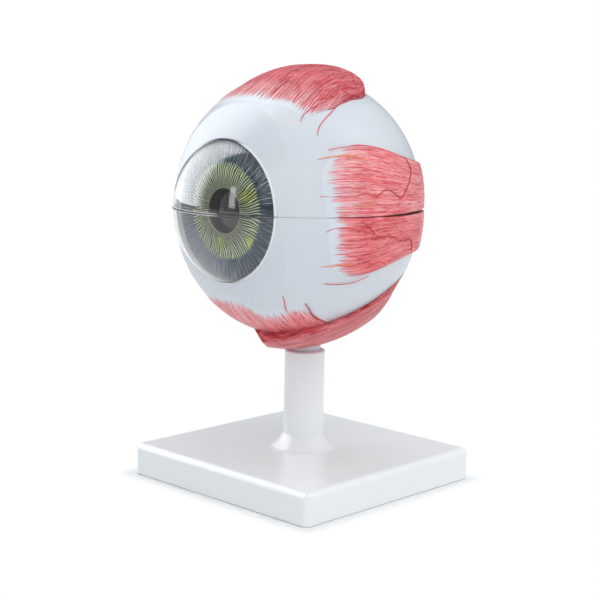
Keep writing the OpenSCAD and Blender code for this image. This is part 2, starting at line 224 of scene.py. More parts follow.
def plastic(name, col, rough, vary, bump_s=0.02, spec=0.5):
    """One colour, lighter and darker by the share vary."""
    m, t, b = new_material(name)
    c = coords(t)
    lo, hi = (tuple(min(1, x * (1 + k)) for x in col) for k in (-vary, vary))
    paint(t, b, ramp(t, noise(t, c, 35.0, 4.0), [(0.3, lo), (0.7, hi)]), rough, spec)
    bump(t, b, noise(t, c, 260.0, 2.0), bump_s)
    return m


def sclera_material():
    m, t, b = new_material("sclera_paint")
    c = coords(t)
    cloud = noise(t, c, 22.0, 3.0)
    base = ramp(t, cloud, [(0.25, srgb(212, 218, 227)), (0.75, srgb(222, 227, 232))])
    paint(t, b, base, 0.3, 0.25)
    bump(t, b, noise(t, c, 120.0, 3.0), 0.02)
    return m


def steel_material():
    m, t, b = new_material("steel")
    b.inputs["Metallic"].default_value = 1.0
    b.inputs["Base Color"].default_value = (0.62, 0.62, 0.64, 1)
    b.inputs["Roughness"].default_value = 0.28
    turned = node(t, "Mapping", Scale=(1, 1, 12))
    link(t, coords(t), turned.inputs["Vector"])
    bump(t, b, noise(t, turned.outputs[0], 400.0, 2.0), 0.08, 0.0003)
    return m


SHELL_TONE = srgb(222, 228, 236)
PALE_TONE = srgb(244, 216, 220)
# dark maroon painted as the shade in the groove between the muscle halves
PAINTED_GROOVE_SHADE = srgb(58, 16, 22)


def muscle_material(name, seed, tone, fade=10.0):
    """Painted fibres. fib holds mm along the sheet, mm across it and mm behind the torn
    front; painted_shade holds the painted shade in the groove and along the cut rims. tone
    lists five colours from dark to light, then the light and the dark strands. The front pales
    over fade mm."""
    m, t, b = new_material(name)
    along, across, ahead = attribute(t, "fib")
    shade, rims, _ = attribute(t, "painted_shade")

    def fibres(sx, sy, off, detail, rough, dist):
        """Noise drawn out along the sheet: scales along and across it, then its kind."""
        vec = join(t, mul(t, along, sx), mul_add(t, across, sy, seed + off), off)
        return noise(t, vec, 1.0, detail, rough, dist)

    def lines(n, width):
        """1 on thin lines where the noise n passes its middle."""
        off = math_node(t, "ABSOLUTE", math_node(t, "SUBTRACT", n, 0.5))
        return map_range(t, off, width, 0.0)

    wide = fibres(0.030, 0.22, 3.0, 2.0, 0.5, 0.3)
    fine = fibres(0.045, 1.45, 11.0, 3.0, 0.65, 0.12)
    dark = lines(fibres(0.050, 0.95, 23.0, 2.0, 0.5, 0.15), 0.040)
    light = lines(fibres(0.075, 1.7, 29.0, 2.0, 0.5, 0.15), 0.045)
    stroke = fibres(0.035, 1.7, 37.0, 3.0, 0.6, 0.2)
    body = mul_add(t, wide, 0.30, mul(t, fine, 0.70))
    col = ramp(t, body, list(zip((0.36, 0.45, 0.51, 0.57, 0.65), tone)))
    col = mix_col(t, mul(t, light, 0.6), col, tone[5])
    col = mix_col(t, mul(t, dark, 0.7), col, tone[6])
    # the fibres end as single brush strokes on the white shell, pale between them
    torn = math_node(t, "ADD", ahead, mul_add(t, stroke, 18.0, -9.0))
    on = map_range(t, torn, -0.9, 1.6)
    between = mul(t, map_range(t, ahead, fade, -1.0), map_range(t, stroke, 0.56, 0.42))
    pale = mul_add(t, between, 0.74, mul(t, map_range(t, ahead, 4.0, -2.0), 0.18))
    col = mix_col(t, pale, col, PALE_TONE)
    col = mix_col(t, on, SHELL_TONE, col)
    # painted shade: the rear and outer rims darkened with the dark strand colour
    col = mix_col(t, mul(t, mul(t, rims, on), 0.6), col, tone[6])
    # painted shade: the groove between the halves in dark maroon
    col = mix_col(t, shade, col, PAINTED_GROOVE_SHADE)
    paint(t, b, col, 0.36, 0.3)
    height = mul_add(t, fine, 0.6, mul(t, dark, -0.25))
    bump(t, b, mul(t, height, on), 0.5, 0.0008)
    return m


def iris_material():
    """pol holds the radius share (0 at the pupil, 1 at the rim), the angle and the ridge."""
    m, t, b = new_material("iris_paint")
    rad, ang, ridge = attribute(t, "pol")
    temple = (16.9, -49.5, -13.8)  # the brightest patch

    def rays_of(sr, sa, off, detail, rough=0.5, dist=0.0):
        """Noise drawn out along the radius: scales along and round it, then its kind."""
        vec = join(t, mul(t, rad, sr), mul(t, ang, sa), off)
        return noise(t, vec, 1.0, detail, rough, dist)

    def near(point, r0, r1):
        """1 within r0 mm of a point, 0 beyond r1 mm."""
        return map_range(t, distance(t, point), r1 * MM, r0 * MM)

    rays = rays_of(1.6, 30.0, 4.0, 3.0, 0.6, 0.4)
    stripes = rays_of(1.5, 36.0, 9.0, 1.5, 0.5, 0.25)
    patch = rays_of(1.2, 1.8, 15.0, 2.0)
    green = ramp(t, mul_add(t, patch, 0.7, mul(t, rays, 0.45)), [
        (0.40, srgb(184, 200, 180)), (0.60, srgb(196, 210, 172)), (0.80, srgb(204, 218, 140))])
    olive = map_range(t, mul_add(t, rays, 0.12, rad), 0.46, 0.16)
    green = mix_col(t, mul(t, olive, 0.8), green, srgb(142, 150, 122))
    blob = near((-2.3, -50.2, -15.2), 1.0, 5.0)
    blob = math_node(t, "MAXIMUM", blob, near((15.5, -50.0, 8.0), 1.0, 7.0))
    blob = math_node(t, "MAXIMUM", near(temple, 1.0, 5.5), blob)
    green = mix_col(t, mul(t, blob, 0.85), green, srgb(196, 206, 92))
    filled = mul_add(t, near(temple, 0.5, 4.5), -0.9, 1.0)
    gap = mul(t, map_range(t, ridge, 0.62, 0.40), filled)
    inner = mix_col(t, gap, green, srgb(16, 26, 20))
    # the outer zone: navy grooves and white lines, strongest on the upper temple side
    strong = near((23, -48.5, 16), 6.0, 24.0)
    slate = ramp(t, stripes, [
        (0.38, srgb(4, 26, 42)), (0.5, srgb(36, 66, 84)), (0.62, srgb(98, 132, 150))])
    line = mul(t, map_range(t, stripes, 0.52, 0.62), mul_add(t, strong, 0.42, 0.10))
    slate = mix_col(t, line, slate, srgb(206, 213, 226))
    groove = mul(t, map_range(t, ridge, 0.60, 0.30), mul_add(t, strong, 0.4, 0.55))
    slate = mix_col(t, groove, slate, srgb(16, 24, 42))
    # painted reflection: a pale veil over the lower nose side of the slate zone
    painted_reflection = mul(t, near((-20, -48, -24), 4.0, 26.0), 0.55)
    slate = mix_col(t, painted_reflection, slate, srgb(156, 160, 178))
    wavy = mul_add(t, patch, 0.10, mul_add(t, rays, 0.12, rad))
    col = mix_col(t, map_range(t, wavy, 0.61, 0.69), inner, slate)
    edge = map_range(t, rad, 0.022, 0.0)
    col = mix_col(t, mul(t, edge, 0.6), col, srgb(150, 162, 134))
    # the rear faces and the pupil's wall are maroon: there the radius share is set to 2
    col = mix_col(t, map_range(t, rad, 1.5, 1.6), col, srgb(92, 20, 24))
    paint(t, b, col, 0.5, 0.3)
    bump(t, b, stripes, 0.3)
    return m


def clear_material(name, tint, ior, shade=1.0, coat_ior=None):
    """Clear plastic; shade is how much of the light its shadow lets through."""
    m, t, b = new_material(name)
    b.inputs["Base Color"].default_value = (*tint, 1)
    b.inputs["Transmission Weight"].default_value = 1.0
    b.inputs["IOR"].default_value = ior
    if coat_ior:
        b.inputs["Coat Weight"].default_value = 0.35
        b.inputs["Coat Roughness"].default_value = 0.04
        b.inputs["Coat IOR"].default_value = coat_ior
    through = node(t, "BsdfTransparent", Color=(*(x * shade for x in tint), 1))
    in_shadow = node(t, "LightPath").outputs["Is Shadow Ray"]
    shader = mix_shader(t, in_shadow, b.outputs[0], through.outputs[0])
    link(t, shader, t.nodes["Material Output"].inputs["Surface"])
    haze = noise(t, coords(t), 40.0, 2.0)
    link(t, ramp(t, haze, [(0.35, (0.01,) * 3), (0.7, (0.016,) * 3)]), b.inputs["Roughness"])
    return m


def choroid_material(s):
    """Brown vessel net outside, orange retina with branching vessels inside, slate front."""
    m, t, b = new_material("choroid_paint_" + HALF[s])
    c = coords(t)
    warp = node(t, "VectorMath", operation="MULTIPLY_ADD")
    link(t, noise(t, c, 45.0, 2.0).node.outputs["Color"], warp.inputs[0])
    warp.inputs[1].default_value = (0.008,) * 3
    link(t, c, warp.inputs[2])

    def net_of(scale, lo, hi):
        """Lines along the borders of cells: 1 up to lo from a border, 0 beyond hi."""
        v = node(t, "TexVoronoi", feature="DISTANCE_TO_EDGE", Scale=scale)
        link(t, warp.outputs[0], v.inputs["Vector"])
        return ramp(t, v.outputs[0], [(lo, (1, 1, 1)), (hi, (0, 0, 0))])

    def spot(x, y, r0, r1):
        """1 within r0 metres of a place of the retina, 0 beyond r1."""
        return ramp(t, distance(t, (x, y, 0)), [(r0, (1, 1, 1)), (r1, (0, 0, 0))])

    net = net_of(90.0, 0.02, 0.09)
    brown = ramp(t, noise(t, c, 30.0, 4.0), [(0.3, srgb(112, 44, 30)), (0.7, srgb(150, 66, 42))])
    outer = mix_col(t, net, brown, srgb(176, 40, 36))
    retina = ramp(t, noise(t, c, 18.0, 3.0), [
        (0.3, srgb(206, 110, 66)), (0.7, srgb(224, 138, 88))])
    inner = mix_col(t, net_of(32.0, 0.006, 0.022), retina, srgb(150, 24, 26))
    inner = mix_col(t, spot(-11, 54, 0.006, 0.0072), inner, srgb(240, 212, 150))
    inner = mix_col(t, mul(t, spot(8, 55, 0.0, 0.009), 0.6), inner, srgb(150, 62, 36))
    inside = math_node(t, "LESS_THAN", distance(t, (0, 0, s * RISE)), 0.0565)
    front_y = EYE[1] - CHOROID_F
    front = map_range(t, split(t, c)[1], (front_y + 0.35) * MM, (front_y + 0.15) * MM)
    col = mix_col(t, front, mix_col(t, inside, outer, inner), srgb(58, 68, 82))
    paint(t, b, col, 0.4)
    bump(t, b, net, 0.25)
    return m


def by_side_material(name, nose_col, temple_col, x0, x1, rough):
    """A cut edge of the dome, which changes its tone from x0 to x1 mm; its dark tone is painted
    shade.
    """
    m, t, b = new_material(name)
    c = coords(t)
    k = map_range(t, split(t, c)[0], x0 * MM, x1 * MM)
    k = math_node(t, "MULTIPLY_ADD", noise(t, c, 300.0, 2.0), 0.2, k, clamp=True)
    paint(t, b, mix_col(t, k, nose_col, temple_col), rough)
    return m


# five colours from dark to light, then the light and the dark strands
PINK = [srgb(*c) for c in (
    (222, 84, 94), (236, 106, 114), (245, 132, 137), (251, 158, 160), (254, 186, 188),
    (255, 208, 208), (196, 60, 72))]
ROSE = [srgb(*c) for c in (
    (212, 72, 82), (230, 92, 100), (240, 114, 120), (248, 138, 142), (252, 166, 168),
    (254, 190, 191), (182, 48, 60))]
RED = [srgb(*c) for c in (
    (180, 42, 56), (202, 62, 74), (218, 86, 96), (232, 112, 120), (243, 144, 149),
    (254, 200, 202), (138, 20, 36))]
UNDER = [srgb(*c) for c in (
    (216, 84, 92), (230, 108, 115), (242, 134, 140), (248, 158, 162), (252, 184, 186),
    (254, 202, 203), (178, 56, 66))]
CRIMSON = [srgb(*c) for c in (
    (178, 50, 60), (200, 68, 77), (218, 90, 98), (232, 116, 122), (243, 146, 150),
    (248, 172, 174), (150, 34, 46))]
M_SCLERA = sclera_material()
M_STAND = plastic("stand_white", srgb(243, 247, 248), 0.3, 0.006, bump_s=0.01, spec=0.4)
M_STEEL = steel_material()
M_NERVE = plastic("nerve_paint", srgb(232, 214, 160), 0.45, 0.10, bump_s=0.25)
M_CILIARY = plastic("ciliary_paint", srgb(96, 52, 42), 0.5, 0.15, bump_s=0.2)
M_IRIS = iris_material()
M_CORNEA = clear_material("cornea_clear", (0.985, 0.992, 1.0), 1.40, coat_ior=1.45)
M_LENS = clear_material("lens_clear", (0.97, 0.985, 0.99), 1.45, shade=0.5)
M_VITREOUS = clear_material("vitreous_clear", (0.96, 0.98, 0.985), 1.34, shade=0.5)
# painted highlight: white on the nose side; painted shade: dark slate on the temple side
M_SEAM_EDGE_LIT_SHADED = by_side_material(
    "seam_edge", srgb(250, 251, 254), srgb(56, 62, 70), x0=9, x1=15, rough=0.15)
# painted shade: dark on the nose side; pale like the sclera on the temple side
M_COLLAR_SHADED = by_side_material(
    "collar_painted_shade", srgb(36, 40, 48), srgb(236, 239, 243), x0=6, x1=16, rough=0.4)
# dark maroon painted as the shade inside the seam gap
M_GAP_SHADE = plastic("gap_painted_shade", srgb(44, 14, 18), 0.6, 0.1)
M_THREAD = plastic("thread_red", srgb(226, 86, 94), 0.45, 0.10)
M_THREAD_O = plastic("thread_orange", srgb(252, 152, 92), 0.45, 0.10)
M_VESSEL = plastic("vessel_dark", srgb(186, 40, 52), 0.45, 0.10)
M_LAT_UP = muscle_material("muscle_lateral_upper", 0.0, PINK, fade=20.0)
M_LAT_LOW = muscle_material("muscle_lateral_lower", 41.0, ROSE)
M_SUP = muscle_material("muscle_superior", 83.0, RED, fade=22.0)
M_INF = muscle_material("muscle_inferior", 127.0, UNDER)
M_OBL = muscle_material("muscle_oblique", 171.0, CRIMSON)


# ---------------------------------------------------------------- CAD pieces that stay
KEPT = (
    ("base_plate", M_STAND), ("post", M_STAND), ("stand_screws", M_STEEL),
    ("stand_washers", M_STEEL), ("locating_pins", M_STEEL), ("lower_sclera", M_SCLERA),
    ("upper_sclera", M_SCLERA), ("optic_nerve_lower", M_NERVE), ("optic_nerve_upper", M_NERVE),
    ("lower_choroid", choroid_material(-1)), ("upper_choroid", choroid_material(1)),
    ("lower_ciliary_body", M_CILIARY), ("upper_ciliary_body", M_CILIARY), ("lens", M_LENS),
    ("vitreous_body", M_VITREOUS))
for name, material in KEPT:
    me = nodes[name].data
    me.materials.clear()
    me.materials.append(material)
    for p in me.polygons:
        p.material_index = 0
        p.use_smooth = True
    me.set_sharp_from_angle(angle=math.radians(28))


# ---------------------------------------------------------------- mesh helpers
def add_piece(name, verts, faces, body, material, replaces=(), attr=None, sharp=None):
    """A mesh from points of the eye frame, mm. attr holds a vector for each point."""
    me = bpy.data.meshes.new(name)
    v = np.asarray(verts, float).reshape(-1, 3) + EYE
    me.from_pydata((v * MM).tolist(), [], [tuple(int(i) for i in f) for f in faces])
    me.validate()
    me.update()
    for p in me.polygons:
        p.use_smooth = True
    if sharp:
        me.set_sharp_from_angle(angle=math.radians(sharp))
    for key, val in (attr or {}).items():
        a = me.attributes.new(key, "FLOAT_VECTOR", "POINT")
        a.data.foreach_set("vector", np.asarray(val, np.float32).ravel())
    me.materials.append(material)
    o = bpy.data.objects.new(name, me)
    bpy.context.scene.collection.objects.link(o)
    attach(o, body)
    if replaces:
        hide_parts(*replaces)
    return o


def grid_faces(nu, nv, flip=False):
    i = np.arange(nu - 1)[:, None] * nv + np.arange(nv - 1)[None, :]
    f = np.stack([i, i + nv, i + nv + 1, i + 1], -1).reshape(-1, 4)
    return f[:, ::-1] if flip else f


def loop_faces(loops, n):
    """Faces between loops of n points, and from the last loop back to the first."""
    return [(i * n + j, i * n + j + 1, (i + 1) % loops * n + j + 1, (i + 1) % loops * n + j)
            for i in range(loops) for j in range(n - 1)]


def spacing(n, length, tight0=True, edge=1.0):
    """Values 0 to 1 with extra rows close to the ends, for rounded rims edge mm wide."""
    extra = np.array([0, 0.02, 0.08, 0.2, 0.4, 0.7, 1.0]) * edge / length
    mid = np.linspace(0, 1, n)
    mid = mid[(mid > (extra[-1] if tight0 else -1)) & (mid < 1 - extra[-1])]
    return np.unique(np.concatenate([extra if tight0 else [], mid, (1 - extra)[::-1]]))


def rim_profile(dist, width):
    x = np.clip(dist / width, 0, 1)
    return np.sqrt(1 - (1 - x) ** 2)


def smooth_min(a, b, k):
    h = np.maximum(k - np.abs(a - b), 0)
    return np.minimum(a, b) - h * h / (4 * k)


def smooth_max(a, b, k):
    return -smooth_min(-a, -b, k)


def lengths(p, axis):
    """Distance travelled over a grid of points along one axis, from its start."""
    d = np.linalg.norm(np.diff(p, axis=axis), axis=-1)
    pad = [(0, 0), (0, 0)]
    pad[axis] = (1, 0)
    return np.cumsum(np.pad(d, pad), axis=axis)


RELIEF, LEAST = 0.30, 0.015  # depth of the fibres, the sheet's thickness at its front


def muscle(name, body, node_name, material, top, base, seed, ahead, widths, fade=8.0,
           flip=False, shade=None, thin=1.0):
    """A sheet from points on its outer face and on the ball under it, rows from the front
    to the rear. It rises from nothing over the fade in front; widths round the rear, first
    and last rims. ahead: how far behind its torn front each place is, mm."""
    du = lengths(top, 0)
    dv = lengths(top, 1)
    rear, last = du[-1:] - du, dv[:, -1:] - dv
    across = (dv / dv[:, -1:]) * dv[:, -1].mean()
    p = np.minimum(rim_profile(rear, widths[0]), rim_profile(dv, widths[1]))
    p = np.minimum(p, rim_profile(last, widths[2])) * step(du, 0, fade) * thin
    thick = top - base
    tl = np.linalg.norm(thick, axis=-1, keepdims=True)
    n = thick / np.maximum(tl, 1e-6)
    warp = 1.6 * rnd(du / 18.0, across / 9.0, seed + 5)
    g = 0.55 * rnd(across / 1.3 + warp, du / 22.0, seed)
    g = g + 0.45 * rnd(across / 0.7 + 2 * warp, du / 12.0, seed + 2)
    cut = -RELIEF * (1 - g) * step(du, 0.4 * fade, 1.4 * fade) * np.minimum(p, 1)
    pts = base + n * np.maximum(tl * p[..., None] + cut[..., None], 0.0) + n * LEAST
    # painted_shade: x is the painted shade in the groove, y the painted shade along the rear and
    # outer rims
    painted_shade = np.zeros_like(pts)
    if shade is not None:
        painted_shade[..., 0] = shade
    painted_shade[..., 1] = 1 - step(np.minimum(rear, last), 0.2, 1.1)
    add_piece(name, pts, grid_faces(*pts.shape[:2], flip=flip), body, material,
              (node_name,), {"fib": np.stack([du, across, ahead], -1), "painted_shade": painted_shade})


def spline(pts, per=8):
    """Smooth curve through points, per samples to a span."""
    p = np.asarray(pts, float)
    out = []
    for x in np.linspace(0, len(p) - 1, (len(p) - 1) * per + 1):
        i = min(int(x), len(p) - 2)
        f = x - i
        p0, p1, p2, p3 = p[max(i - 1, 0)], p[i], p[i + 1], p[min(i + 2, len(p) - 1)]
        out.append(0.5 * (2 * p1 + (p2 - p0) * f + (2 * p0 - 5 * p1 + 4 * p2 - p3) * f * f
                          + (3 * p1 - p0 - 3 * p2 + p3) * f**3))
    return np.array(out)


def resample(curve, k):
    """Points of a curve at shares k of its length."""
    d = np.concatenate([[0], np.cumsum(np.linalg.norm(np.diff(curve, axis=0), axis=1))])
    at = np.asarray(k) * d[-1]
    return np.stack([np.interp(at, d, curve[:, i]) for i in range(curve.shape[1])], -1)


# ---------------------------------------------------------------- surfaces the sheets follow
def over_ball(u, v, s, axis, grow):
    """Third coordinate on the shell: axis x for (y, z) places, z for (x, y) places."""
    y, across = (u, v) if axis == "x" else (v, u)
    trim = root((FRONT_R + grow) ** 2 - (y - TRIM_Y) ** 2 - across**2)
    if axis == "x":
        return np.minimum(root((R + grow) ** 2 - u**2 - (v - s * RISE) ** 2), trim)
    return s * np.minimum(RISE + root((R + grow) ** 2 - u**2 - v**2), trim)


def side_top(y, z, s, lat):
    """Outer face of the lateral (lat 1) and medial (-1) sheets: a ball moved out and back."""
    out = 1.5 + root(R**2 - (y - 1.7) ** 2 - (z - s * RISE) ** 2)
    return lat * smooth_max(out, over_ball(y, z, s, "x", FILM), 1.0)


def superior_top(x, y):
    """A ball of 61.6 mm moved up and back, cut by a roll of 54 mm along the gaze."""
    up = 8.8 + root(61.6**2 - x**2 - (y - 10) ** 2)
    up = smooth_min(up, 16.3 + root(54.0**2 - x**2), 1.6)
    return smooth_max(up, over_ball(x, y, 1, "z", FILM), 0.8)


def inferior_top(x, y):
    """A ball of 61.5 mm moved down and back."""
    down = -6 - root(61.5**2 - x**2 - (y - 6) ** 2)
    return smooth_min(down, over_ball(x, y, -1, "z", FILM), 0.8)


# ---------------------------------------------------------------- side muscles
def side_muscle(which, s, material, front_pts, edge_pts, seed):
    """Lateral and medial rectus halves, laid out over y and z. front_pts (y, z) follow the
    torn insertion from the seam to the edge; edge_pts are the sheet's outer edge."""
    lat, rear_y = (1, 40) if which == "lateral" else (-1, 39)
    ey, ez = np.array(edge_pts, float).T
    f = spline(front_pts, 10)
    fz, fy = np.abs(f[:, 1]), f[:, 0]
    width = abs(ez).max()
    v = spacing(int(width / 0.26), width)
    u = spacing(140, rear_y - fy.min(), tight0=False, edge=1.4)
    U, V = np.meshgrid(u, v, indexing="ij")
    front = np.interp(V * fz.max(), fz, fy) - 4.5
    y = front + (rear_y - 2.0 * V - front) * U
    z_out = np.polyval(np.polyfit(ey, ez, 5), np.clip(y, ey.min(), ey.max()))
    z = s * (SEAM + 0.02) * (1 - V) + z_out * V
    ahead = y - np.interp(np.abs(z), fz, fy, right=fy[-1] + 3)
    top = np.stack([side_top(y, z, s, lat), y, z], -1)
    base = np.stack([lat * over_ball(y, z, s, "x", LAY), y, z], -1)
    # the two halves part behind: a groove along the seam, painted dark as its shade
    groove = SEAM + 0.05 + 0.26 * step(y, -6, 30)
    wall = step(abs(z), groove - 0.05, groove + 0.25)
    shade = (1 - step(abs(z), groove, groove + 0.35)) * step(y, -12, 6)
    thin = 1 - (1 - wall) * 0.96 * step(y, -8, 6)
    muscle(which + "_" + HALF[s], BODY[s], which + "_rectus_" + HALF[s], material, top, base,
           seed, ahead, widths=(1.4, 0.2, 1.2), flip=(s * lat) > 0, shade=shade, thin=thin)


side_muscle("lateral", 1, M_LAT_UP, [
    (-29.2, 0), (-29.5, 3.3), (-30.4, 8), (-30.5, 13.5), (-30.8, 18), (-30, 22.5),
    (-27.9, 26.1), (-24.2, 29.7), (-21, 32)], [
    (-36, 27.0), (-29.5, 30.4), (-25, 31.8), (-12.7, 33.3), (0, 31), (17, 26.6), (38, 23),
    (40, 22.6)], 3)
side_muscle("lateral", -1, M_LAT_LOW, [
    (-29.3, 0), (-28.1, -3.2), (-28.4, -6.9), (-28.5, -10.7), (-27.4, -15.5), (-26, -20.4),
    (-23.7, -25.4), (-18.1, -28.6)], [
    (-33, -24.5), (-27, -26.6), (-20, -28.3), (-10, -27.4), (0, -24.4), (21, -20.6),
    (36.8, -19.8), (40, -19.7)], 7)
MEDIAL_FRONT = [(-33, 0), (-33.4, 8), (-33.2, 16), (-32, 22), (-29, 27)]
side_muscle("medial", 1, M_LAT_UP, MEDIAL_FRONT, [
    (-37, 25.5), (-27, 27), (-13, 28.5), (0, 27), (17, 23), (37, 19), (39, 18.8)], 13)
side_muscle("medial", -1, M_LAT_LOW, MEDIAL_FRONT, [
    (-37, -25.5), (-26, -27), (-12, -27.5), (0, -25), (19, -21), (37, -18), (39, -17.8)], 17)


# ---------------------------------------------------------------- top and bottom muscles
def plan_muscle(which, s, material, surface, seed, front, right, rear, left):
    """Superior and inferior rectus: a patch between four curves of (x, y). front and rear
    run left to right, left and right from the front to the rear. The torn front is front;
    the sheet itself reaches further."""
    u = spacing(130, 60, tight0=False, edge=1.6)
    v = spacing(250, 68.0, edge=1.2)
    U, V = np.meshgrid(u, v, indexing="ij")
    F, Q, L, T = (resample(spline(c, 12), k)
                  for c, k in ((front, v), (rear, v), (left, u), (right, u)))
    W, H = V[..., None], U[..., None]
    xy = ((1 - H) * F[None] + H * Q[None] + (1 - W) * L[:, None] + W * T[:, None]
          - ((1 - W) * (1 - H) * F[0] + W * (1 - H) * F[-1] + (1 - W) * H * Q[0] + W * H * Q[-1]))
    reach = 4.0 * np.minimum(1, np.minimum(V, 1 - V) / 0.06)
    x, y = xy[..., 0], xy[..., 1] - reach * (1 - U) ** 3
    top = np.stack([x, y, surface(x, y)], -1)
    base = np.stack([x, y, over_ball(x, y, s, "z", LAY)], -1)
    muscle(which, BODY[s], which + "_rectus", material, top, base, seed,
           lengths(top, 0) - reach, widths=(1.8, 1.2, 1.2), flip=(s < 0))


plan_muscle("superior", 1, M_SUP, superior_top, 23, [
    (-27, -29.5), (-18, -33.0), (-10.6, -34), (-3.3, -34.4), (3.6, -34.4), (12.2, -33.5),
    (18.4, -31.7), (24.3, -29.6), (28.9, -28.9), (33.4, -26.7), (36.2, -21.5)], [
    (36.2, -21.5), (37.9, -17.1), (37.4, -9), (36.4, 1), (35, 7), (32.6, 11.5)], [
    (-28, 13.5), (-25, 16.2), (-20, 17.7), (0, 17.7), (21, 17.3), (28, 15.3), (32.6, 11.5)], [
    (-27, -29.5), (-28.6, -23), (-30, -12), (-29.4, 2), (-28, 13.5)])
plan_muscle("inferior", -1, M_INF, inferior_top, 29, [
    (-27, -33), (-22, -38), (-15, -40.6), (-8.7, -41.9), (-1.1, -42.4), (8.6, -40.9),
    (17.5, -36), (25.6, -33.4), (30.8, -31.9), (35.1, -27.4)], [
    (35.1, -27.4), (34.8, -19), (33.6, -8), (32.6, 2), (28.8, 15), (24, 27)], [
    (-22, 27), (0, 27), (24, 27)], [
    (-27, -33), (-29.8, -22), (-29, -5), (-25.5, 12), (-22, 27)])


# ---------------------------------------------------------------- oblique straps
def lean(deg_x, deg_z):
    turn = Matrix.Rotation(math.radians(deg_z), 3, "Z")
    return np.array(turn @ Matrix.Rotation(math.radians(deg_x), 3, "X"))


def ring_hit(rot, phi, w, centre, rad):
    """Point of a sphere at polar angle phi and height w of the leaning frame, eye frame."""
    c = rot.T @ np.asarray(centre, float)
    cp, sp = np.cos(phi), np.sin(phi)
    b = cp * c[0] + sp * c[1]
    q = c[0] ** 2 + c[1] ** 2 + (w - c[2]) ** 2 - rad**2
    r = b + root(b * b - q)
    return np.stack([r * cp, r * sp, w + 0 * r], -1) @ rot.T


UNTORN = 8.0  # the straps have no torn front: every place counts as this far behind one
# the slanted plane that cuts the inferior strap's nose end: a point and its normal
END_AT, END_N = np.array([-2.0, -27.4, -60.2]), np.array([0.553, 0.635, 0.540])


def inferior_strap():
    """A belt of the ball round a leaning axis, from the slanted cut to the rear."""
    rot = lean(28, -9)
    rear_phi = math.radians(21.5)
    w0, w1 = -43.7, -60.9  # the belt's edges along its axis
    U, V = np.meshgrid(spacing(190, 100, edge=1.6), spacing(90, 24, edge=1.4), indexing="ij")
    w = w0 + (w1 - w0) * V
    scan = np.radians(np.linspace(-118, -40, 400))
    layers = []
    for centre, rad in (((-4, -1, -8.3), 64.5), ((0, 0, -RISE), R + LAY)):
        hit = ring_hit(rot, scan[:, None] + 0 * w[0], w[0] + 0 * scan[:, None], centre, rad)
        out = (hit - END_AT) @ END_N < 0
        last_out = np.maximum(len(scan) - 1 - np.argmax(out[::-1], 0), 0)
        start = np.where(out.any(0), scan[last_out], scan[0])[None]
        layers.append(ring_hit(rot, start + (rear_phi - start) * U, w, centre, rad))
    top, base = layers
    muscle("inferior_oblique_strap", "stand", "inferior_oblique", M_OBL, top[::-1],
           base[::-1], 31, UNTORN + 0 * U, widths=(0.9, 1.6, 1.6), fade=16.0)


def superior_strap():
    """A strap over the top of the ball, in the plane whose normal is the leaning Y axis."""
    ex, ey, ez = lean(-17.5, 29.2).T
    U, V = np.meshgrid(spacing(120, 64, edge=1.2), spacing(48, 14, edge=1.2), indexing="ij")
    start, turn, half_width, thick = math.radians(-42), math.radians(62), 6.9, 2.4
    a = start + turn * U
    w = (half_width * (2 * V - 1))[..., None]
    d = np.sin(a)[..., None] * ex + np.cos(a)[..., None] * ez

    def hit(rad):
        m = w * ey - np.array([0, 0, RISE])
        b = (m * d).sum(-1)
        q = (m * m).sum(-1) - rad**2
        return w * ey + (-b + root(b * b - q))[..., None] * d

    muscle("superior_oblique_strap", "upper_shell", "superior_oblique", M_OBL,
           hit(R + thick)[::-1], hit(R + LAY)[::-1], 37, UNTORN + 0 * U,
           widths=(1.2, 1.0, 1.0), fade=6.0, flip=True)


inferior_strap()
superior_strap()


# ---------------------------------------------------------------- cornea and iris
def half_lathe(profile, s, n, gap):
    """Half turn of a closed profile of (radius, distance ahead) round the gaze, cut at the
    seam."""
    prof = np.asarray(profile, float)
    a0 = np.arcsin(np.clip(gap / np.maximum(prof[:, 0], gap * 1.0001), -1, 1))
    ang = a0[:, None] + (math.pi - 2 * a0[:, None]) * np.linspace(0, 1, n)[None, :]
    r = prof[:, 0:1]
    pts = np.stack([r * np.cos(ang), -prof[:, 1:2] + 0 * ang, s * r * np.sin(ang)], -1)
    k = len(prof)
    faces = loop_faces(k, n)
    faces.append(tuple(i * n for i in range(k)))
    faces.append(tuple(i * n + n - 1 for i in range(k))[::-1])
    return pts, [f[::-1] for f in faces] if s > 0 else faces


def dome(a, b, f0, r0, r1, n):
    """Profile of a shallow ellipse from radius r0 to r1: radius, distance ahead."""
    t = np.linspace(math.asin(r0 / a), math.asin(r1 / a), n)
    return [(a * math.sin(x), f0 + b * math.cos(x)) for x in t]


APEX, CENTRE_R = DOME_F + DOME_R, 0.02
DOME_B = (APEX - RIM_F - STEP_UP) / (1 - math.sqrt(1 - (LIP_R / DOME_A) ** 2))
DOME_F0 = APEX - DOME_B


